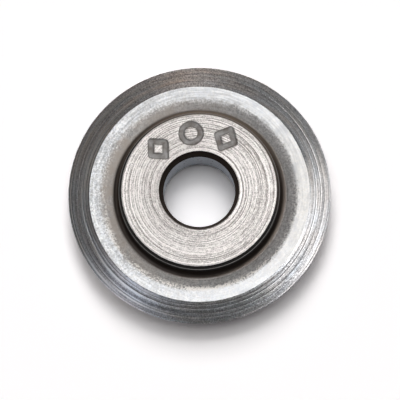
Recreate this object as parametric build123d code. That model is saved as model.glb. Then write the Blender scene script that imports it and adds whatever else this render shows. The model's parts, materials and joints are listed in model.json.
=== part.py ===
from build123d import *
import os

# Cutter wheel of a pipe cutter: one hardened steel disc, turned and ground all over.
# It runs on a pin through its bore and rolls round the pipe, while the edge is pressed in.
# Both sides are the same, so the wheel can be fitted either way round.
# The origin is the middle of the bore, in the plane of the cutting edge. +Z is the axis.
# All sizes are in millimetres.

# Radial sizes, from the pin outwards
bore_diameter = 9.0
hub_wall = 5.6           # from the bore to the outside of the hub
groove_width = 2.1       # from the hub to the inner edge of the land
land_width = 1.65        # the flat ring that is ground bright
bevel_width = 2.65       # from the land out to the cutting edge

# Sizes along the axis
hub_width = 6.2          # across the two hub faces
blade_thickness = 1.8    # across the two lands
groove_depth = 0.32      # how far the groove has fallen below the land at the hub
edge_flat = 0.08         # the narrow blunt line that is left along the cutting edge

# Broken edges and rounded corners
bore_chamfer_width = 0.55
bore_chamfer_depth = 1.0
hub_chamfer_width = 0.4
hub_chamfer_depth = 0.65
root_radius = 0.8        # where the groove runs up into the hub
shoulder_radius = 4.0    # where the groove rolls over into the land

# Places worked out from the sizes
bore_radius = bore_diameter / 2
hub_radius = bore_radius + hub_wall
land_inner_radius = hub_radius + groove_width
land_outer_radius = land_inner_radius + land_width
wheel_radius = land_outer_radius + bevel_width
hub_face_height = hub_width / 2
land_height = blade_thickness / 2
root_corner = (hub_radius, land_height - groove_depth)
shoulder_corner = (land_inner_radius, land_height)


def upper_corners():
    """Corners of one half of the section as (radius, height), from the bore to the edge."""
    return [
        (bore_radius, hub_face_height - bore_chamfer_depth),
        (bore_radius + bore_chamfer_width, hub_face_height),
        (hub_radius - hub_chamfer_width, hub_face_height),
        (hub_radius, hub_face_height - hub_chamfer_depth),
        root_corner,
        shoulder_corner,
        (land_outer_radius, land_height),
        (wheel_radius, edge_flat / 2),
    ]


def mirrored(corner):
    """The matching corner on the other side of the wheel."""
    radius, height = corner
    return (radius, -height)


def rounded(section, corners, radius):
    """The section with the named corners rounded to the radius."""
    vertices = [section.vertices().sort_by_distance(corner)[0] for corner in corners]
    return fillet(vertices, radius)


def turned_section():
    """Half of a cut through the axis: the shape that the turning tool leaves."""
    upper = upper_corners()
    lower = [mirrored(corner) for corner in reversed(upper)]
    section = make_face(Polyline(*upper, *lower, close=True))
    section = rounded(section, [root_corner, mirrored(root_corner)], root_radius)
    return rounded(section, [shoulder_corner, mirrored(shoulder_corner)], shoulder_radius)


def cutter_wheel():
    """The wheel: its section turned once round the axis."""
    return revolve(Plane.XZ * turned_section(), axis=Axis.Z)


os.makedirs("parts", exist_ok=True)
export_step(cutter_wheel(), "parts/cutter_wheel.step")
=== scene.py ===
import json
import math
from itertools import pairwise

import bpy
import numpy as np
from mathutils import Matrix, Vector


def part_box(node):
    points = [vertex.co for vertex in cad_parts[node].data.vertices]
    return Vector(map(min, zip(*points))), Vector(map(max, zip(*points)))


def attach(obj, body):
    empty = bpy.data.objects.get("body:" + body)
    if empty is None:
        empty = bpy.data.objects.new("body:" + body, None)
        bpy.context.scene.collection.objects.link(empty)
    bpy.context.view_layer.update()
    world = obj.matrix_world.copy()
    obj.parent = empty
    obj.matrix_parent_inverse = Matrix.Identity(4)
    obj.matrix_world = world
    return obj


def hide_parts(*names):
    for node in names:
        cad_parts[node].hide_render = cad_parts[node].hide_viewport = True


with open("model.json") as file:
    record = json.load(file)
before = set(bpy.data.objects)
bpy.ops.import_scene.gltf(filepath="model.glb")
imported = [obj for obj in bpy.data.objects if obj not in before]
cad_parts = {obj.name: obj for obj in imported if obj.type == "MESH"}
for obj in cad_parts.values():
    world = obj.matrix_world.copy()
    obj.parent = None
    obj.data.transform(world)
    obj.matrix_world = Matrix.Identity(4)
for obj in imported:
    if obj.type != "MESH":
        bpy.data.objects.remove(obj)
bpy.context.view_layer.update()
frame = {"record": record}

# Pipe cutter wheel lying on its lower hub face.
# The wheel is one turned solid, so it is one mesh: its section, with the marks that the turning
# tool left, swept round the axis, and three stamped marks pressed into the upper hub face.
# Sizes of the wheel are in millimetres and become metres when the mesh is made.
mm = 0.001

# Sizes that the frame gives
lowest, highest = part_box("cutter_wheel")
wheel_radius = highest.x / mm
hub_face_height = highest.z / mm
bore_mount = next(m for m in frame["record"]["mounts"] if m["name"] == "bore")
bore_radius = bore_mount["dims"]["r_mm"]
bore_wall_top = bore_mount["dims"]["length_mm"] / 2

# The rest of the section, as the solid has it
hub_wall = 5.6
groove_width = 2.1
land_width = 1.65
land_height = 0.9
groove_depth = 0.32
edge_flat = 0.08
bore_chamfer_width = 0.55
hub_chamfer_width = 0.4
hub_chamfer_depth = 0.65
root_radius = 0.8
shoulder_radius = 4.0

hub_radius = bore_radius + hub_wall
bore_mouth_radius = bore_radius + bore_chamfer_width
face_outer_radius = hub_radius - hub_chamfer_width
land_inner_radius = hub_radius + groove_width
land_outer_radius = land_inner_radius + land_width

# Turning marks
broken_edge = 0.06       # rounding of the edges that the stone has broken
holding = 0.02           # how near a rounding the flat beside it has a row of points, to shade flat
# Radii where the tool has left a groove on the bevel, and how deep each is beside the others
bevel_grooves = {14.25: 0.8, 14.67: 1.1, 15.23: 1.25, 15.71: 0.9, 16.29: 0.6}
bevel_groove_width = 0.05
bevel_groove_depth = 0.02
face_feed = 0.23         # how far the tool moved out in one turn on the hub face
face_turns = 24          # more turns than the face has room for
face_groove_depth = 0.006
rim_nick_depth = 0.035   # how far the cutting edge is worn back where it is nicked
near_enough = 0.03       # how near the rim or the hub face a point lies to be part of it
# Rings that show all round the hub face, by radius: lighter above 0, darker below
face_rings = {5.32: 0.15, 5.5: -0.3, 6.55: 0.22, 6.76: -0.12, 7.4: 0.2, 8.45: -0.15, 8.95: -0.3,
              9.13: 0.2, 9.32: -0.15, 9.52: 0.2}
face_ring_width = 0.11

# Detail of the mesh
face_rows = 54           # rows of points across the upper hub face
lower_detail = 0.45      # share of them on the lower hub face, which lies on the floor
fine_step = 0.5          # degrees between the spokes of the mesh round the stamped marks
fine_margin = 15         # degrees to either side of the marks that are as fine
coarse_spokes = 149      # spokes in the rest of the round

# Stamped marks: a lozenge, a ring and a lozenge
mark_circle = 7.4        # radius from the axis to the middle of each mark
mark_depth = 0.15
mark_stroke = 0.64
mark_wall = 0.24         # how wide the slope of a stroke's side is
mark_azimuths = (57.9, 92.6, 128.6)
near_a_mark = 0.8        # cosine of the angle round the axis within which a mark lies
lozenge_half_height = 1.36
lozenge_half_width = 1.22
ring_radius = 1.2

random = np.random.default_rng(33)


# Section of the wheel

def rounded_corner(before, corner, after, radius, steps):
    """Points along the arc that rounds a corner between two straight runs."""
    towards_before = (before - corner).normalized()
    towards_after = (after - corner).normalized()
    half_angle = towards_before.angle(towards_after) / 2
    reach = radius / math.tan(half_angle)
    centre = corner + (towards_before + towards_after).normalized() * radius / math.sin(half_angle)
    start = corner + towards_before * reach - centre
    end = corner + towards_after * reach - centre
    return [centre + start.slerp(end, step / steps) * radius for step in range(steps + 1)]


def even_steps(count):
    """Shares of a run where its points lie, at even steps."""
    return [step / count for step in range(1, count)]


def bevel_steps():
    """Shares of the bevel where its points lie, close together in the tool's grooves."""
    across = [-2.0, -1.2, -0.6, 0, 0.6, 1.2, 2.0]    # in widths of a groove
    radii = [groove + step * bevel_groove_width for groove in bevel_grooves for step in across]
    radii += [(inner + outer) / 2 for inner, outer in pairwise(bevel_grooves)]
    bevel_width = wheel_radius - land_outer_radius
    return [(radius - land_outer_radius) / bevel_width for radius in sorted(radii)]


def half_section(detail):
    """Points of the section above the plane of the edge, from the bore out, and each run's finish.

    A row gives a corner, how it is rounded and in how many steps, and then the run that follows:
    its finish and where its points lie.
    """
    wall_foot = land_height - groove_depth
    face_steps = even_steps(int(face_rows * detail))
    rows = [
        (bore_radius, 0, 0, 1, "bore", even_steps(3)),
        (bore_radius, bore_wall_top, 0.08, 2, "bore chamfer", even_steps(2)),
        (bore_mouth_radius, hub_face_height, broken_edge, 3, "hub face", face_steps),
        (face_outer_radius, hub_face_height, broken_edge, 3, "hub side", even_steps(2)),
        (hub_radius, hub_face_height - hub_chamfer_depth, 0.1, 3, "hub side", []),
        (hub_radius, wall_foot, root_radius, 9, "blade", even_steps(3)),
        (land_inner_radius, land_height, shoulder_radius, 5, "blade", even_steps(2)),
        (land_outer_radius, land_height, 0.05, 2, "bevel", bevel_steps()),
        (wheel_radius, edge_flat / 2, 0.015, 2, "bevel", []),
        (wheel_radius, 0, 0, 1, "bevel", []),
    ]
    corners = [Vector(row[:2]) for row in rows]
    arcs = [[corners[0]]]
    for index in range(1, len(rows) - 1):
        rounding, turn_steps = rows[index][2:4]
        arcs.append(rounded_corner(*corners[index - 1:index + 2], rounding, turn_steps))
    arcs.append([corners[-1]])

    points, finishes = [], []
    for index, row in enumerate(rows):
        points += arcs[index]
        finishes += [row[4]] * (len(arcs[index]) - 1)
        if index + 1 < len(rows):
            run = corners[index + 1] - corners[index]
            start = (arcs[index][-1] - corners[index]).length + holding
            end = run.length - (arcs[index + 1][0] - corners[index + 1]).length - holding
            lengths = [share * run.length for share in row[5]]
            lengths = [start] + [length for length in lengths if start < length < end] + [end]
            if end > start:
                points += [corners[index] + run.normalized() * length for length in lengths]
                finishes += [row[4]] * len(lengths)
            finishes.append(row[4])
    return np.array(points), finishes


def uneven_round(count, strength):
    """A function of the azimuth that swings slowly about 1, for each of some grooves."""
    waves_round = (1, 3, 7)
    weaker = (1, 1.6, 2.4)    # how much weaker the quicker waves are
    swings = strength * random.uniform(0.3, 1, (count, 3)) / weaker
    starts = random.uniform(0, 2 * math.pi, (count, 3))

    def factor(index, azimuth):
        waves = [swing * np.sin(often * azimuth + start)
                 for often, swing, start in zip(waves_round, swings[index], starts[index])]
        return np.maximum(1 + sum(waves), 0)
    return factor


def grooved_share(radius, azimuth, finish):
    """How deep the tool's grooves on the bevel are at each point, as a share of their full depth.

    The wheel sat a little askew when it was turned, so the grooves are shallower at the back.
    """
    share = np.zeros_like(azimuth)
    askew = 0.85 - 0.5 * np.clip(np.sin(azimuth), 0, 1)
    if finish == "bevel":
        for index, (groove, strength) in enumerate(bevel_grooves.items()):
            shape = strength * math.exp(-((radius - groove) / bevel_groove_width) ** 2)
            share += shape * askew * bevel_unevenness(index, azimuth)
    return share


def turned_relief(radius, azimuth, finish):
    """How far the tool's marks lie under the section, measured along the axis."""
    relief = -bevel_groove_depth * grooved_share(radius, azimuth, finish)
    margin = 0.1
    inside = bore_mouth_radius + margin < radius < face_outer_radius - margin
    if finish == "hub face" and inside:
        turn = (radius - bore_mouth_radius) / face_feed
        wave = 0.5 - 0.5 * math.cos(2 * math.pi * turn)
        relief -= face_groove_depth * wave ** 2 * face_unevenness(int(turn), azimuth)
    return relief


bevel_unevenness = uneven_round(len(bevel_grooves), 0.45)
face_unevenness = uneven_round(face_turns, 0.9)


# Stamped marks

def distance_to_segment(x, y, start, end):
    """Distance of each point to a straight stroke."""
    along = np.array(end) - np.array(start)
    share = ((x - start[0]) * along[0] + (y - start[1]) * along[1]) / (along @ along)
    share = np.clip(share, 0, 1)
    return np.hypot(x - start[0] - share * along[0], y - start[1] - share * along[1])


def lozenge_distance(x, y):
    """Distance of each point to the middle of a lozenge's strokes."""
    tips = [(0, lozenge_half_height), (lozenge_half_width, 0),
            (0, -lozenge_half_height), (-lozenge_half_width, 0)]
    sides = zip(tips, tips[1:] + tips[:1])
    return np.minimum.reduce([distance_to_segment(x, y, *ends) for ends in sides])


def ring_distance(x, y):
    """Distance of each point to the middle of a ring's stroke."""
    return np.abs(np.hypot(x, y) - ring_radius)


def pressed_share(radius, azimuth):
    """How deeply the marks are pressed in at each point, from 0 to 1, with eased slopes."""
    pressed = np.zeros(np.broadcast(radius, azimuth).shape)
    shapes = (lozenge_distance, ring_distance, lozenge_distance)
    for middle, shape in zip(np.radians(mark_azimuths), shapes):
        outwards = radius * np.cos(azimuth - middle) - mark_circle
        sideways = -radius * np.sin(azimuth - middle)
        inside = mark_stroke / 2 - shape(sideways, outwards)
        share = np.clip(inside / mark_wall + 0.5, 0, 1)
        near = np.cos(azimuth - middle) > near_a_mark
        pressed = np.maximum(pressed, near * share * share * (3 - 2 * share))
    return pressed


# Mesh of the wheel

def azimuth_steps():
    """Azimuths of the mesh, close together where the stamped marks are."""
    first, last = mark_azimuths[0] - fine_margin, mark_azimuths[-1] + fine_margin
    fine = np.radians(np.arange(first, last, fine_step))
    coarse = np.linspace(fine[-1], fine[0] + 2 * math.pi, coarse_spokes + 2)[1:-1]
    return np.concatenate([fine, coarse])


def half_surface(detail, side, azimuths):
    """Radii and heights of one side of the wheel at every azimuth, and each run's finish."""
    section, finishes = half_section(detail)
    rows = list(zip(section[:, 0], finishes + ["bevel"]))
    relief = [turned_relief(radius, azimuths, finish) for radius, finish in rows]
    grooved = [grooved_share(radius, azimuths, finish) for radius, finish in rows]
    height = side * (section[:, 1:2] + np.array(relief))
    radius = np.repeat(section[:, :1], len(azimuths), axis=1)
    return radius, height, np.array(grooved), finishes


def wheel_mesh():
    """The wheel's mesh, with a finish for each face and the depth of the marks at each point."""
    azimuths = azimuth_steps()
    *upper, upper_finishes = half_surface(1.0, 1, azimuths)
    *lower, lower_finishes = half_surface(lower_detail, -1, azimuths)
    # The lower side goes back from the rim, without the rows that both sides share
    radius, height, grooved = [np.concatenate([above, below[-2:0:-1]])
                               for above, below in zip(upper, lower)]
    finishes = upper_finishes + lower_finishes[::-1]

    # Most nicks are slight and a few are deep
    nicks = random.uniform(0, 1, len(azimuths)) ** 4 * rim_nick_depth
    radius = radius - nicks * (radius > wheel_radius - near_enough)
    azimuth = np.broadcast_to(azimuths, radius.shape)
    pressed = pressed_share(radius, azimuth) * (height > hub_face_height - near_enough)
    height = height - mark_depth * pressed
    places = np.stack([radius * np.cos(azimuth), radius * np.sin(azimuth), height], -1) * mm

    rings, spokes = radius.shape
    ring, spoke = np.meshgrid(np.arange(rings), np.arange(spokes), indexing="ij")
    next_ring, next_spoke = (ring + 1) % rings, (spoke + 1) % spokes
    corners = [ring * spokes + spoke, ring * spokes + next_spoke,
               next_ring * spokes + next_spoke, next_ring * spokes + spoke]
    faces = np.stack([corner.ravel() for corner in corners], -1)

    mesh = bpy.data.meshes.new("cutter_wheel_turned")
    mesh.from_pydata(places.reshape(-1, 3).tolist(), [], faces.tolist())
    names = list(dict.fromkeys(finishes))
    slots = np.repeat([names.index(finish) for finish in finishes], spokes)
    for name in names:
        mesh.materials.append(finish_materials[name])
    mesh.polygons.foreach_set("material_index", slots.astype(np.int32))
    mesh.polygons.foreach_set("use_smooth", np.ones(len(faces), bool))
    for name, values in {"stamped": pressed, "grooved": grooved}.items():
        attribute = mesh.attributes.new(name, "FLOAT", "POINT")
        attribute.data.foreach_set("value", values.ravel().astype(np.float32))
    mesh.update()
    return mesh


# Helpers for node trees

def place(tree, kind, values=None, **settings):
    """Adds a node. A value is a number, a colour or the output that feeds the input."""
    node = tree.nodes.new(kind)
    for name, setting in settings.items():
        setattr(node, name, setting)
    for name, value in (values or {}).items():
        socket = node.inputs[name]
        if isinstance(value, bpy.types.NodeSocket):
            tree.links.new(value, socket)
        else:
            socket.default_value = value
    return node


def calc(tree, operation, *values):
    """The output of a maths node."""
    return place(tree, "ShaderNodeMath", dict(enumerate(values)), operation=operation).outputs[0]


def scaled(tree, value, factor):
    """A value times a factor."""
    return calc(tree, "MULTIPLY", value, factor)


def rest_of(tree, share):
    """What a share leaves of 1."""
    return calc(tree, "SUBTRACT", 1.0, share)


def centred(tree, value, strength):
    """A noise value moved to lie about 0 and scaled."""
    return scaled(tree, calc(tree, "SUBTRACT", value, 0.5), strength)


def total(tree, first, *others):
    """The sum of several values."""
    for other in others:
        first = calc(tree, "ADD", first, other)
    return first


def remap(tree, value, from_low, from_high, to_low=0.0, to_high=1.0, smooth=False):
    """Carries a value from one range to another and stops it at the ends."""
    names = ("Value", "From Min", "From Max", "To Min", "To Max")
    inputs = dict(zip(names, (value, from_low, from_high, to_low, to_high)))
    kind = "SMOOTHSTEP" if smooth else "LINEAR"
    return place(tree, "ShaderNodeMapRange", inputs, interpolation_type=kind).outputs[0]


def blend_colours(tree, factor, first, second, mode="MIX"):
    """The mix of two colours."""
    # The mix node has sockets for numbers and vectors too: 0, 6, 7 and 2 are the colour ones
    inputs = {0: factor, 6: first, 7: second}
    return place(tree, "ShaderNodeMix", inputs, data_type="RGBA", blend_type=mode).outputs[2]


def tinted(tree, base, tint, factor=1.0):
    """A colour darkened by a tint, as far as the factor says."""
    return blend_colours(tree, factor, base, tint, "MULTIPLY")


def colour(red, green, blue):
    """An opaque colour, as linear values."""
    return (red, green, blue, 1.0)


def empty_tree(owner):
    """The node tree of a material or of the world, emptied."""
    owner.use_nodes = True
    owner.node_tree.nodes.clear()
    return owner.node_tree


def start_group(name, inputs, outputs):
    """A new node group with number inputs, their defaults, and number outputs."""
    tree = bpy.data.node_groups.new(name, "ShaderNodeTree")
    for socket, default in inputs.items():
        made = tree.interface.new_socket(socket, in_out="INPUT", socket_type="NodeSocketFloat")
        made.default_value = default
    for socket in outputs:
        tree.interface.new_socket(socket, in_out="OUTPUT", socket_type="NodeSocketFloat")
    given = tree.nodes.new("NodeGroupInput").outputs
    results = tree.nodes.new("NodeGroupOutput").inputs
    return tree, given, results


def use_group(tree, group, values=None):
    """Places a node group with its own values and gives its outputs."""
    return place(tree, "ShaderNodeGroup", values, node_tree=group).outputs


def noise(tree, vector, seed, scale, detail):
    """Smooth noise between about 0 and 1."""
    values = {"Vector": vector, "W": seed, "Scale": scale, "Detail": detail}
    return place(tree, "ShaderNodeTexNoise", values, noise_dimensions="4D").outputs[0]


# Effects that several finishes share

def wheel_position_group():
    """Where a point is on the wheel: its radius in millimetres and its direction from the axis."""
    tree, _, results = start_group("Place on the wheel", {}, ["Radius", "Across", "Along"])
    point = place(tree, "ShaderNodeTexCoord").outputs["Object"]
    axes = place(tree, "ShaderNodeSeparateXYZ", {0: point}).outputs
    flat = place(tree, "ShaderNodeCombineXYZ", {0: axes[0], 1: axes[1]}).outputs[0]
    length = place(tree, "ShaderNodeVectorMath", {0: flat}, operation="LENGTH").outputs["Value"]
    tree.links.new(scaled(tree, length, 1 / mm), results["Radius"])
    tree.links.new(calc(tree, "DIVIDE", axes[0], length), results["Across"])
    tree.links.new(calc(tree, "DIVIDE", axes[1], length), results["Along"])
    return tree


def lathe_lines_group(position):
    """Fine rings that a turning tool leaves, each fading in and out on its way round."""
    tree, given, results = start_group(
        "Lathe lines", {"Pitch": 0.1, "Breaks": 3.0, "Seed": 0.0}, ["Lines"])
    where = use_group(tree, position)
    rings = calc(tree, "DIVIDE", where["Radius"], given["Pitch"])
    across = scaled(tree, where["Across"], given["Breaks"])
    along = scaled(tree, where["Along"], given["Breaks"])
    vector = place(tree, "ShaderNodeCombineXYZ", {0: across, 1: along, 2: rings}).outputs[0]
    tree.links.new(noise(tree, vector, given["Seed"], 1.0, 1.0), results["Lines"])
    return tree


def ring_rise_group(position):
    """Rises from 0 to 1 across a given radius. Its edge can be moved from point to point."""
    tree, given, results = start_group(
        "Ring rise", {"Radius": 1.0, "Softness": 0.1, "Shift": 0.0}, ["Mask"])
    radius = calc(tree, "ADD", use_group(tree, position)["Radius"], given["Shift"])
    half = scaled(tree, given["Softness"], 0.5)
    low = calc(tree, "SUBTRACT", given["Radius"], half)
    high = calc(tree, "ADD", given["Radius"], half)
    tree.links.new(remap(tree, radius, low, high, smooth=True), results["Mask"])
    return tree


def grain_group():
    """Even grain of a given size in millimetres."""
    tree, given, results = start_group(
        "Grain", {"Size": 0.1, "Seed": 0.0, "Detail": 1.0}, ["Grain"])
    point = place(tree, "ShaderNodeTexCoord").outputs["Object"]
    scale = calc(tree, "DIVIDE", 1 / mm, given["Size"])
    tree.links.new(noise(tree, point, given["Seed"], scale, given["Detail"]), results["Grain"])
    return tree


def side_group(position):
    """How far a point lies towards an azimuth in degrees: 1 on that side and 0 on the far side."""
    tree, given, results = start_group("Side of the wheel", {"Azimuth": 90.0}, ["Side"])
    where = use_group(tree, position)
    azimuth = calc(tree, "RADIANS", given["Azimuth"])
    across = scaled(tree, where["Across"], calc(tree, "COSINE", azimuth))
    along = scaled(tree, where["Along"], calc(tree, "SINE", azimuth))
    tree.links.new(remap(tree, calc(tree, "ADD", across, along), -1, 1), results["Side"])
    return tree


def turned_ring_group(position):
    """One ring round the wheel, soft at both sides: 1 in its middle and 0 outside it."""
    tree, given, results = start_group("Turned ring", {"Radius": 1.0, "Width": 0.1}, ["Mask"])
    offset = calc(tree, "SUBTRACT", use_group(tree, position)["Radius"], given["Radius"])
    away = calc(tree, "ABSOLUTE", offset)
    tree.links.new(remap(tree, away, 0, given["Width"], 1, 0, smooth=True), results["Mask"])
    return tree


position_group = wheel_position_group()
lines_group = lathe_lines_group(position_group)
rise_group = ring_rise_group(position_group)
grain_texture_group = grain_group()
side_of_wheel_group = side_group(position_group)
ring_group = turned_ring_group(position_group)


def lathe_lines(tree, pitch, breaks, seed):
    """Rings at a pitch in millimetres. The more breaks, the shorter each runs round the wheel."""
    values = {"Pitch": pitch, "Breaks": breaks, "Seed": seed}
    return use_group(tree, lines_group, values)["Lines"]


def ring_rise(tree, radius, softness, shift=0.0):
    """0 inside a radius and 1 outside it. A shift above 0 moves the edge inwards."""
    values = {"Radius": radius, "Softness": softness, "Shift": shift}
    return use_group(tree, rise_group, values)["Mask"]


def grain(tree, size, seed, detail=1.0):
    """Grain of a size in millimetres."""
    values = {"Size": size, "Seed": seed, "Detail": detail}
    return use_group(tree, grain_texture_group, values)["Grain"]


def side_of_wheel(tree, azimuth, power=1):
    """How far a point lies towards an azimuth. A higher power keeps this nearer to that side."""
    side = use_group(tree, side_of_wheel_group, {"Azimuth": azimuth})["Side"]
    return calc(tree, "POWER", side, power) if power > 1 else side


def turned_ring(tree, radius, width):
    """One ring round the wheel."""
    return use_group(tree, ring_group, {"Radius": radius, "Width": width})["Mask"]


# Finishes

# Where round the wheel the finishes differ, as azimuths in degrees. 0 is at the right of the
# picture, 90 at the back, 180 at the left and 270 at the front.
darker_face_side = 150
crisp_bevel_side = 205
banded_bevel_side = -5
back_side = 90
bluish_reflection_side = 262
brown_bevel_side = 118
crusted_bevel_side = 268
warm_groove_side = 155
rough_land_side = 180
even_land_side = 50
calm_land_side = 265
creamy_land_side = -5
wide_land_side = 65
painted_light_root_side = 82
painted_light_wall_side = 60

quarter_turn = 0.25
dull_gloss = 0.1         # specular level of scale
root_gloss = 0.05


def begin_finish(name, metallic=1.0, across_lines=0.0):
    """A material with its shader and output.

    A turned surface is smoother along its lathe lines than across them, by the share given.
    """
    material = bpy.data.materials.new(name)
    tree = empty_tree(material)
    shader = place(tree, "ShaderNodeBsdfPrincipled", {"Metallic": metallic})
    place(tree, "ShaderNodeOutputMaterial", {"Surface": shader.outputs[0]})
    if across_lines:
        tangent = place(tree, "ShaderNodeTangent", direction_type="RADIAL", axis="Z")
        tree.links.new(tangent.outputs[0], shader.inputs["Tangent"])
        shader.inputs["Anisotropic"].default_value = across_lines
        shader.inputs["Anisotropic Rotation"].default_value = quarter_turn
    return material, tree, shader


def add_relief(tree, shader, height, depth):
    """Bump from a height between 0 and 1, which stands for a depth in millimetres."""
    values = {"Height": height, "Distance": depth * mm, "Strength": 1.0}
    tree.links.new(place(tree, "ShaderNodeBump", values).outputs[0], shader.inputs["Normal"])


def mesh_value(tree, name):
    """A value that the mesh carries at each point."""
    return place(tree, "ShaderNodeAttribute", attribute_name=name).outputs["Fac"]


def hub_face_finish():
    """Bright turned face, with grey scale left in the stamped marks."""
    material, tree, shader = begin_finish("turned_hub_face", across_lines=0.15)
    rings = lathe_lines(tree, pitch=0.105, breaks=0.5, seed=11)
    dashes = lathe_lines(tree, pitch=0.1, breaks=10, seed=3)
    bands = lathe_lines(tree, pitch=0.7, breaks=0.6, seed=17)
    speck = grain(tree, size=0.12, seed=2)
    # Even turns of the tool, which wander a little with the bands
    radius = use_group(tree, position_group)["Radius"]
    turn_pitch = 0.27
    turns = total(tree, scaled(tree, radius, 2 * math.pi / turn_pitch), centred(tree, bands, 9.0))
    turns = scaled(tree, calc(tree, "SINE", turns), 0.09)
    lines = total(tree, 0.5, centred(tree, rings, 2.2), centred(tree, dashes, 1.1),
                  centred(tree, speck, 1.5), centred(tree, bands, 0.4), turns)
    for ring, lightness in face_rings.items():
        mask = turned_ring(tree, ring, face_ring_width)
        lines = total(tree, lines, scaled(tree, mask, lightness))
    bright = remap(tree, lines, 0.0, 0.8)
    metal = blend_colours(tree, bright, colour(0.34, 0.315, 0.29), colour(1.0, 0.97, 0.935))
    # Slightly pinker in broken rings
    pink = remap(tree, lathe_lines(tree, pitch=0.3, breaks=3, seed=61), 0.3, 0.7)
    metal = tinted(tree, metal, colour(0.96, 0.93, 0.94), pink)
    # A little darker towards the bore, on one side
    towards_bore = remap(tree, radius, 9.0, 5.8)
    darker_side = remap(tree, side_of_wheel(tree, darker_face_side), 0.35, 0.95)
    metal = tinted(tree, metal, colour(0.8, 0.795, 0.79), scaled(tree, towards_bore, darker_side))
    # The stamped marks, with grey scale in them and painted shade darkening their walls
    stamped = mesh_value(tree, "stamped")
    wall = scaled(tree, scaled(tree, stamped, rest_of(tree, stamped)), 4.0)
    patches = remap(tree, grain(tree, size=0.8, seed=5, detail=3), 0.35, 0.65)
    scale = blend_colours(tree, patches, colour(0.42, 0.385, 0.355), colour(0.68, 0.67, 0.66))
    scale = blend_colours(tree, scaled(tree, wall, 0.3), scale, colour(0.12, 0.11, 0.1))
    pressed = remap(tree, stamped, 0.02, 0.35)
    tree.links.new(blend_colours(tree, pressed, metal, scale), shader.inputs["Base Color"])
    roughness = calc(tree, "MAXIMUM", remap(tree, bright, 0, 1, 0.5, 0.4),
                     remap(tree, pressed, 0, 1, 0, 0.75))
    tree.links.new(roughness, shader.inputs["Roughness"])
    add_relief(tree, shader, lines, depth=0.008)
    return material


def bevel_finish():
    """Turned bevel: fine rings between the mesh's grooves, with grime and painted shade in the
    grooves.
    """
    material, tree, shader = begin_finish("turned_bevel", across_lines=0.6)
    rings = lathe_lines(tree, pitch=0.14, breaks=0.8, seed=31)
    dashes = lathe_lines(tree, pitch=0.13, breaks=9, seed=21)
    bands = lathe_lines(tree, pitch=0.5, breaks=1.2, seed=91)
    speck = grain(tree, size=0.15, seed=7)
    # The rings stand out most on the left, the bands on the right and the specks back and front
    crisp = side_of_wheel(tree, crisp_bevel_side, power=2)
    banded = remap(tree, side_of_wheel(tree, banded_bevel_side), 0.6, 1.0, 0.6, 1.6)
    towards_back = centred(tree, side_of_wheel(tree, back_side), 2.0)
    speckled = total(tree, 1.1, scaled(tree, towards_back, towards_back))
    lines = total(tree, 0.5, centred(tree, rings, remap(tree, crisp, 0, 1, 1.0, 2.8)),
                  centred(tree, dashes, 0.8), centred(tree, speck, speckled),
                  centred(tree, bands, banded))
    bright = remap(tree, lines, 0.05, 0.95)
    metal = blend_colours(tree, bright, colour(0.26, 0.255, 0.26), colour(0.84, 0.83, 0.83))
    scratches = remap(tree, lathe_lines(tree, pitch=0.24, breaks=0.7, seed=57), 0.58, 0.66)
    scratches = scaled(tree, scratches, crisp)
    metal = blend_colours(tree, scratches, metal, colour(1.0, 0.975, 0.94))
    # Rings turn from warm to cool, and a painted bluish reflection lies on the front
    cooler = remap(tree, lathe_lines(tree, pitch=0.6, breaks=4, seed=67), 0.35, 0.65)
    tint = blend_colours(tree, cooler, colour(1.0, 0.955, 0.92), colour(0.95, 0.975, 1.0))
    metal = tinted(tree, metal, tint)
    bluish = remap(tree, side_of_wheel(tree, bluish_reflection_side), 0.45, 0.8)
    metal = tinted(tree, metal, colour(0.94, 0.965, 1.0), bluish)
    # Browner between the lines at the back
    brown_tint = remap(tree, side_of_wheel(tree, brown_bevel_side), 0.8, 1.0, smooth=True)
    brown_tint_lines = remap(tree, lathe_lines(tree, pitch=0.45, breaks=1.5, seed=77), 0.33, 0.62)
    metal = tinted(tree, metal, colour(0.82, 0.75, 0.695), scaled(tree, brown_tint, brown_tint_lines))
    # Dull crust in fine specks on the front
    crusted = remap(tree, side_of_wheel(tree, crusted_bevel_side), 0.88, 1.0, 0, 0.6, smooth=True)
    crust = total(tree, grain(tree, size=0.16, seed=83, detail=2),
                  centred(tree, grain(tree, size=1.2, seed=87, detail=2), 0.5))
    crust = scaled(tree, remap(tree, crust, 0.42, 0.62), crusted)
    metal = blend_colours(tree, crust, metal, colour(0.2, 0.2, 0.19))
    # Grime and painted shade darken the tool's grooves
    dirt_and_shade = remap(tree, mesh_value(tree, "grooved"), 0.05, 0.8, 0.0, 0.7)
    metal = blend_colours(tree, dirt_and_shade, metal, colour(0.08, 0.078, 0.076))
    tree.links.new(metal, shader.inputs["Base Color"])
    tree.links.new(remap(tree, bright, 0, 1, 0.37, 0.3), shader.inputs["Roughness"])
    add_relief(tree, shader, lines, depth=0.006)
    return material


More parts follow.
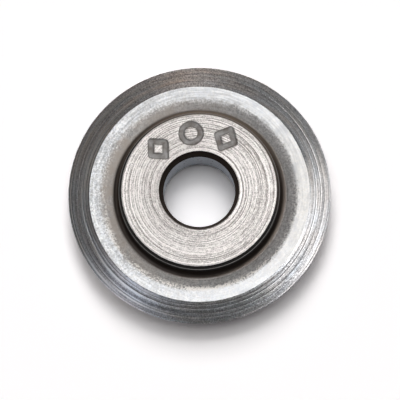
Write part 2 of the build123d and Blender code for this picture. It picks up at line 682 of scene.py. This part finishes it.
def blade_finish():
    """The blade inside the bevel: dark root, satin groove and the land that is ground bright."""
    material, tree, shader = begin_finish("ground_land_and_satin_groove")
    fine = grain(tree, size=0.17, seed=13)
    flecks = grain(tree, size=0.35, seed=9, detail=2)
    hue = grain(tree, size=0.3, seed=37)
    clouds = grain(tree, size=1.4, seed=29, detail=3)
    streaks = lathe_lines(tree, pitch=0.22, breaks=5, seed=43)
    smears = lathe_lines(tree, pitch=0.7, breaks=2.5, seed=71)
    rough = side_of_wheel(tree, rough_land_side)
    even = side_of_wheel(tree, even_land_side, power=2)
    calm = side_of_wheel(tree, calm_land_side, power=2)
    creamy = side_of_wheel(tree, creamy_land_side)

    # Satin groove, warmer on one side
    grained = total(tree, 0.5, centred(tree, fine, 1.3), centred(tree, flecks, 0.8),
                    centred(tree, streaks, 0.7))
    satin = blend_colours(tree, remap(tree, grained, 0.2, 0.8),
                          colour(0.33, 0.325, 0.32), colour(0.62, 0.61, 0.6))
    warm = scaled(tree, remap(tree, side_of_wheel(tree, warm_groove_side), 0.3, 1.0),
                  remap(tree, clouds, 0.3, 0.6))
    satin = blend_colours(tree, warm, satin, colour(0.46, 0.415, 0.375))
    satin = tinted(tree, satin, colour(1.0, 0.94, 0.9), remap(tree, hue, 0.35, 0.65, 0, 0.4))

    # Ground land: speckled on the rough side, streaked on the even one and plainest on the calm
    # one, which painted light also makes a little lighter
    share = total(tree, grained, centred(tree, smears, 0.7), centred(tree, streaks, even),
                  centred(tree, fine, scaled(tree, even, -0.9)))
    share = remap(tree, share, 0.15, 0.85)
    contrast = total(tree, 0.5, scaled(tree, calc(tree, "POWER", rough, 2.0), 0.9),
                     scaled(tree, calm, -0.3))
    # Painted light: the calm side is a little lighter
    share = total(tree, 0.5, centred(tree, share, contrast), scaled(tree, calm, 0.12))
    ground = blend_colours(tree, share, colour(0.46, 0.46, 0.46), colour(0.95, 0.945, 0.935))
    ground = tinted(tree, ground, colour(0.945, 0.965, 1.0), remap(tree, hue, 0.35, 0.65))
    # Dull bluish clouds, densest on the creamy side
    cream = remap(tree, creamy, 0.8, 1.0)
    cloudy = total(tree, clouds, centred(tree, flecks, 0.25), centred(tree, smears, 0.4))
    cloudiest = remap(tree, cream, 0, 1, 0.45, 0.85)
    cloudy = remap(tree, cloudy, 0.47, 0.75, 0.0, cloudiest, smooth=True)
    ground = blend_colours(tree, cloudy, ground, colour(0.5, 0.515, 0.55))
    ground = tinted(tree, ground, colour(0.94, 0.915, 0.88), cream)

    # The land breaks up into flecks where the blade falls away into the groove
    ragged = total(tree, centred(tree, flecks, 0.7), centred(tree, fine, 0.8),
                   centred(tree, clouds, 0.6))
    flecked = calc(tree, "POWER", creamy, 3.0)
    raggedness = total(tree, remap(tree, calm, 0, 1, 1.0, 0.35), flecked)
    break_up = total(tree, scaled(tree, ragged, raggedness), scaled(tree, rough, -0.2),
                     scaled(tree, calm, -0.12),
                     scaled(tree, side_of_wheel(tree, wide_land_side), 0.12))
    softness = total(tree, remap(tree, rough, 0, 1, 1.4, 1.0), scaled(tree, calm, -0.75),
                     scaled(tree, flecked, -0.55))
    edge = ring_rise(tree, land_inner_radius, softness, break_up)
    # Loose flecks lie in the groove beside it
    loose = total(tree, fine, centred(tree, hue, 0.6), centred(tree, smears, 0.9),
                  scaled(tree, calm, 0.1))
    loose = remap(tree, loose, 0.5, 0.72, 0, remap(tree, calm, 0.1, 1, 0.5, 0.9))
    loose_from = land_inner_radius - 0.35
    loose = scaled(tree, loose, ring_rise(tree, loose_from, 0.5))
    base = blend_colours(tree, loose, satin, colour(0.93, 0.895, 0.85))
    base = blend_colours(tree, edge, base, ground)

    # Scale in the root, with painted light making it lighter and browner on one side, thinning out
    # over the foot of the groove into a dark stain that is partly painted shade of the root
    scale_end, stain_and_shade_end = hub_radius + 0.42, hub_radius + 0.9
    painted_light = remap(tree, side_of_wheel(tree, painted_light_root_side), 0.52, 1.0)
    painted_light = calc(tree, "POWER", painted_light, 1.5)
    spread = total(tree, centred(tree, clouds, 0.15), scaled(tree, rough, 0.08))
    clear_of_stain_and_shade = ring_rise(tree, stain_and_shade_end, 0.5, spread)
    base = blend_colours(tree, clear_of_stain_and_shade, colour(0.12, 0.1, 0.087), base)
    bare_spread = calc(tree, "ADD", spread, scaled(tree, painted_light, -0.2))
    bare = ring_rise(tree, scale_end, 0.3, bare_spread)
    scale = blend_colours(tree, painted_light, colour(0.03, 0.022, 0.018), colour(0.19, 0.149, 0.117))
    scale = tinted(tree, scale, colour(0.8, 0.8, 0.8), clouds)
    base = blend_colours(tree, bare, scale, base)
    tree.links.new(base, shader.inputs["Base Color"])
    tree.links.new(bare, shader.inputs["Metallic"])
    shader.inputs["Specular IOR Level"].default_value = root_gloss
    rubbed = calc(tree, "MAXIMUM", edge, loose)
    roughness = total(tree, 0.4, scaled(tree, clear_of_stain_and_shade, 0.15), scaled(tree, rubbed, -0.15))
    tree.links.new(roughness, shader.inputs["Roughness"])
    speckle = remap(tree, even, 0, 1, 0.6, 0.2)
    relief = total(tree, centred(tree, fine, speckle), centred(tree, flecks, speckle), 0.5)
    add_relief(tree, shader, relief, depth=0.01)
    return material


def hub_side_finish():
    """Chamfer and wall of the hub: dark scale, with painted light making it browner on one side,
    rubbed bright at its edges.
    """
    material, tree, shader = begin_finish("scaled_hub_side")
    mottle = grain(tree, size=0.3, seed=19, detail=2)
    # Painted light: the scale is lighter and browner on one side and near black on the other
    painted_light = remap(tree, side_of_wheel(tree, painted_light_wall_side), 0.55, 1.0)
    dark = blend_colours(tree, painted_light, colour(0.022, 0.021, 0.02), colour(0.17, 0.139, 0.112))
    dark = tinted(tree, dark, colour(0.7, 0.7, 0.7), remap(tree, mottle, 0.3, 0.7))
    # The rubbed edges: a thin ring between chamfer and wall, and one beside the hub face
    wander = centred(tree, mottle, 0.08)
    foot_start, foot_end, face_end = hub_radius - 0.06, hub_radius - 0.006, face_outer_radius + 0.04
    foot_edge = scaled(tree, ring_rise(tree, foot_start, 0.04, wander),
                       rest_of(tree, ring_rise(tree, foot_end, 0.01)))
    face_edge = rest_of(tree, ring_rise(tree, face_end, 0.04, wander))
    side = blend_colours(tree, foot_edge, dark, colour(0.3, 0.29, 0.28))
    side = blend_colours(tree, face_edge, side, colour(0.9, 0.87, 0.85))
    tree.links.new(side, shader.inputs["Base Color"])
    tree.links.new(calc(tree, "MAXIMUM", foot_edge, face_edge), shader.inputs["Metallic"])
    tree.links.new(remap(tree, mottle, 0.3, 0.7, 0.4, 0.6), shader.inputs["Roughness"])
    shader.inputs["Specular IOR Level"].default_value = dull_gloss
    lines = lathe_lines(tree, pitch=0.09, breaks=2, seed=41)
    add_relief(tree, shader, lines, depth=0.008)
    return material


def bore_chamfer_finish():
    """Brown-black scale in the mouth of the bore."""
    material, tree, shader = begin_finish("scaled_bore_chamfer", metallic=0.0)
    mottle = grain(tree, size=0.35, seed=53, detail=2)
    dark = blend_colours(tree, mottle, colour(0.014, 0.008, 0.005), colour(0.036, 0.023, 0.015))
    tree.links.new(dark, shader.inputs["Base Color"])
    tree.links.new(remap(tree, mottle, 0.3, 0.7, 0.45, 0.65), shader.inputs["Roughness"])
    shader.inputs["Specular IOR Level"].default_value = dull_gloss
    lines = lathe_lines(tree, pitch=0.09, breaks=2, seed=47)
    add_relief(tree, shader, lines, depth=0.008)
    return material


def bore_finish():
    """Reamed bore wall, dulled so that it also scatters light down to the floor."""
    material, tree, shader = begin_finish("reamed_bore", metallic=0.4)
    streaks = grain(tree, size=0.3, seed=23, detail=2)
    metal = blend_colours(tree, streaks, colour(0.31, 0.35, 0.4), colour(0.44, 0.49, 0.54))
    tree.links.new(metal, shader.inputs["Base Color"])
    tree.links.new(remap(tree, streaks, 0.3, 0.7, 0.25, 0.4), shader.inputs["Roughness"])
    add_relief(tree, shader, streaks, depth=0.006)
    return material


finish_materials = {
    "bore": bore_finish(),
    "bore chamfer": bore_chamfer_finish(),
    "hub face": hub_face_finish(),
    "hub side": hub_side_finish(),
    "blade": blade_finish(),
    "bevel": bevel_finish(),
}

wheel = bpy.data.objects.new("cutter_wheel_turned", wheel_mesh())
bpy.context.scene.collection.objects.link(wheel)
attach(wheel, "root")
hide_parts("cutter_wheel")


# Floor and light

def seen_by_eye(tree):
    """1 where the camera looks, directly or in the metal, and 0 for light that is given off."""
    path = place(tree, "ShaderNodeLightPath").outputs
    seen = calc(tree, "MAXIMUM", path["Is Camera Ray"], path["Is Glossy Ray"])
    return calc(tree, "MAXIMUM", seen, path["Is Transmission Ray"])


def floor_finish():
    """Pale floor. What the camera sees is brighter than the light that the floor gives off."""
    material = bpy.data.materials.new("pale_floor")
    tree = empty_tree(material)
    given_off, seen = colour(0.84, 0.77, 0.775), colour(1.395, 1.365, 1.372)
    pale = blend_colours(tree, seen_by_eye(tree), given_off, seen)
    diffuse = place(tree, "ShaderNodeBsdfDiffuse", {"Color": pale})
    place(tree, "ShaderNodeOutputMaterial", {"Surface": diffuse.outputs[0]})
    return material


floor_half = 0.6
floor_height = lowest.z
floor_mesh = bpy.data.meshes.new("floor")
floor_corners = [(-1, -1), (1, -1), (1, 1), (-1, 1)]
floor_places = [(x * floor_half, y * floor_half, floor_height) for x, y in floor_corners]
floor_mesh.from_pydata(floor_places, [], [(0, 1, 2, 3)])
floor_mesh.materials.append(floor_finish())
floor = bpy.data.objects.new("floor", floor_mesh)
bpy.context.scene.collection.objects.link(floor)

metal_lamp_distance = 0.5
floor_lamp_distance = 4.0    # further off, so that the floor is evenly lit


def softbox(name, across, along, width, height, brightness, tint=(1, 1, 1), in_metal=True):
    """A lamp that looks at the wheel, from a tilt across and along the picture, in degrees.

    Its width and height are the angles that it fills, and its brightness is that of a white
    surface at 1. A lamp either shows in the metal or lights the floor.
    """
    tilt = math.radians(math.hypot(across, along))
    azimuth = math.atan2(along, across)
    back = Vector((math.sin(tilt) * math.cos(azimuth), math.sin(tilt) * math.sin(azimuth),
                   math.cos(tilt)))
    side = Vector((0, 1, 0)).cross(back).normalized()
    distance = metal_lamp_distance if in_metal else floor_lamp_distance
    lamp = bpy.data.lights.new(name, "AREA")
    lamp.shape = "RECTANGLE"
    lamp.size = 2 * distance * math.tan(math.radians(width / 2))
    lamp.size_y = 2 * distance * math.tan(math.radians(height / 2))
    lamp.energy = brightness * math.pi * lamp.size * lamp.size_y
    lamp.color = tint
    box = bpy.data.objects.new(name, lamp)
    axes = Matrix((side, back.cross(side), back)).transposed().to_4x4()
    box.matrix_world = Matrix.Translation(back * distance) @ axes
    box.visible_camera = False
    box.visible_diffuse = not in_metal
    box.visible_glossy = in_metal
    bpy.context.scene.collection.objects.link(box)


softbox("overhead_softbox", 9, 10, 20, 14, 6.2)
softbox("front_right_softbox", 26, -10, 16, 16, 4.3)
softbox("right_softbox", 40, 7, 22, 22, 1.5)
softbox("left_softbox", -24, -16, 15, 14, 1.5, (0.87, 0.92, 1.07))
softbox("low_left_softbox", -40, -23, 20, 24, 0.45, (0.96, 0.96, 1.0))
softbox("back_softbox", 0, 45, 12, 16, 1.15, (1.03, 0.9, 0.82))
softbox("back_floor_softbox", 2.4, 38.5, 23, 36, 5.7, in_metal=False)
softbox("top_floor_softbox", -0.3, 10.5, 58, 42, 1.75, in_metal=False)

# The room is dim overhead, where the lamps hang, and pale all round the horizon
pale_below, dim_above = 0.2, 0.55    # sines of the height above the horizon
world = bpy.data.worlds.new("studio")
bpy.context.scene.world = world
world_tree = empty_tree(world)
look = place(world_tree, "ShaderNodeTexCoord").outputs["Generated"]
rise = place(world_tree, "ShaderNodeSeparateXYZ", {0: look}).outputs[2]
horizon = blend_colours(world_tree, seen_by_eye(world_tree),
                        colour(0.05, 0.043, 0.044), colour(0.9, 0.9, 0.9))
overhead = remap(world_tree, rise, pale_below, dim_above, smooth=True)
room = blend_colours(world_tree, overhead, horizon, colour(0.028, 0.027, 0.026))
room_light = place(world_tree, "ShaderNodeBackground", {"Color": room, "Strength": 1.0})
place(world_tree, "ShaderNodeOutputWorld", {"Surface": room_light.outputs[0]})


# Camera: it looks down on the wheel from in front

picture_size = 400
camera_distance = 1.0
camera_elevation = math.radians(77.18)
camera_roll = math.radians(5.45)
pixels_per_mm = 7.9605
wheel_in_picture = (199.57, 195.53)

back = Vector((0, -math.cos(camera_elevation), math.sin(camera_elevation)))
level = Vector((1, 0, 0))
upright = back.cross(level)
right = level * math.cos(camera_roll) - upright * math.sin(camera_roll)
up = level * math.sin(camera_roll) + upright * math.cos(camera_roll)
off_centre = (wheel_in_picture[0] - picture_size / 2, picture_size / 2 - wheel_in_picture[1])
aim = -(right * off_centre[0] + up * off_centre[1]) * mm / pixels_per_mm

camera_data = bpy.data.cameras.new("camera")
camera_data.sensor_width = 36
camera_data.lens = pixels_per_mm * camera_distance / mm * camera_data.sensor_width / picture_size
camera_data.clip_start, camera_data.clip_end = 0.05, 10
camera = bpy.data.objects.new("camera", camera_data)
axes = Matrix((right, up, back)).transposed().to_4x4()
camera.matrix_world = Matrix.Translation(aim + back * camera_distance) @ axes
bpy.context.scene.collection.objects.link(camera)
bpy.context.scene.camera = camera
bpy.context.scene.view_settings.view_transform = "Standard"
